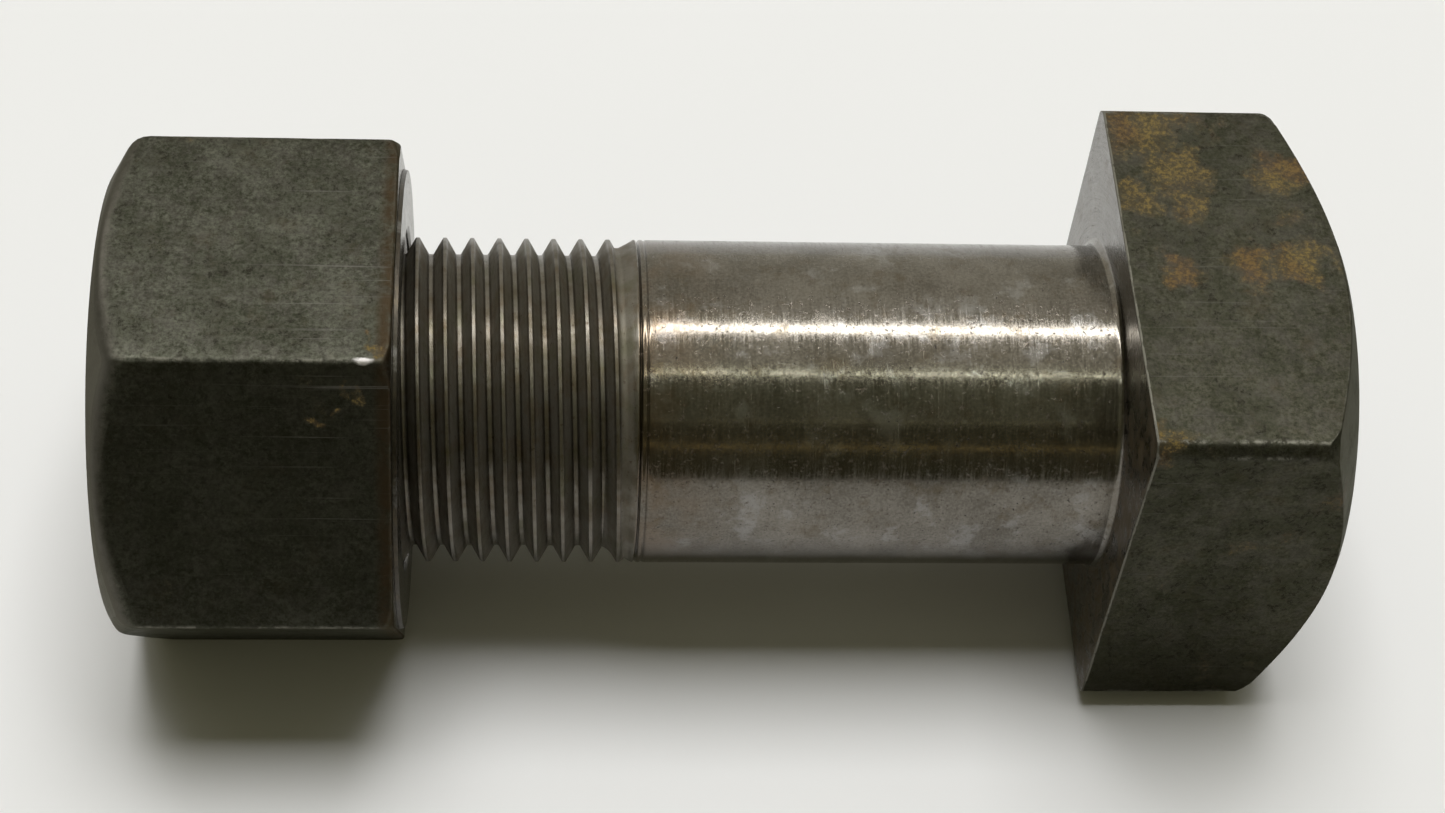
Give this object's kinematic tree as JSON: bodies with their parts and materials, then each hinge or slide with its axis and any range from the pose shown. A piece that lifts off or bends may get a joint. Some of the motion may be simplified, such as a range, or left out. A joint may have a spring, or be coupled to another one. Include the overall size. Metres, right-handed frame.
{
  "type": "square head bolt with hex nut",
  "caption": "Large machined bolt with a square chamfered head, a plain shank and a 60 degree thread, carrying a chamfered hexagon nut that screws along it.",
  "frame": {"origin": "on the bolt's axis, midway between the end of the head and the outer face of the nut", "axes": "+X along the bolt's axis towards the head, +Z normal to the top flats of the head and the nut"},
  "size_m": [0.1402, 0.064, 0.0554],
  "materials": {
    "bolt_steel": "turned and ground, oiled, light rust on the head",
    "nut_steel": "dark mill scale with fine pits",
    "turned_face_steel": "turned bright"
  },
  "bodies": {
    "bolt": {"bolt": "bolt_steel"},
    "nut_face": {"nut_washer_face": "turned_face_steel"},
    "nut": {"hex_nut": "nut_steel"}
  },
  "joints": [
    {"name": "nut_travel", "type": "slide", "parent": "bolt", "child": "nut_face", "axis": [1, 0, 0], "range_m": [-0.02858, 0.02224]},
    {"name": "nut_turn", "type": "hinge", "parent": "nut_face", "child": "nut", "pos_m": [-0.0535, 0, 0], "axis": [1, 0, 0], "range_deg": [-3240, 2520]}
  ],
  "couplings": [
    {"joint": "nut_travel", "follows": "nut_turn", "m_per_rad": 0.00050532}
  ]
}
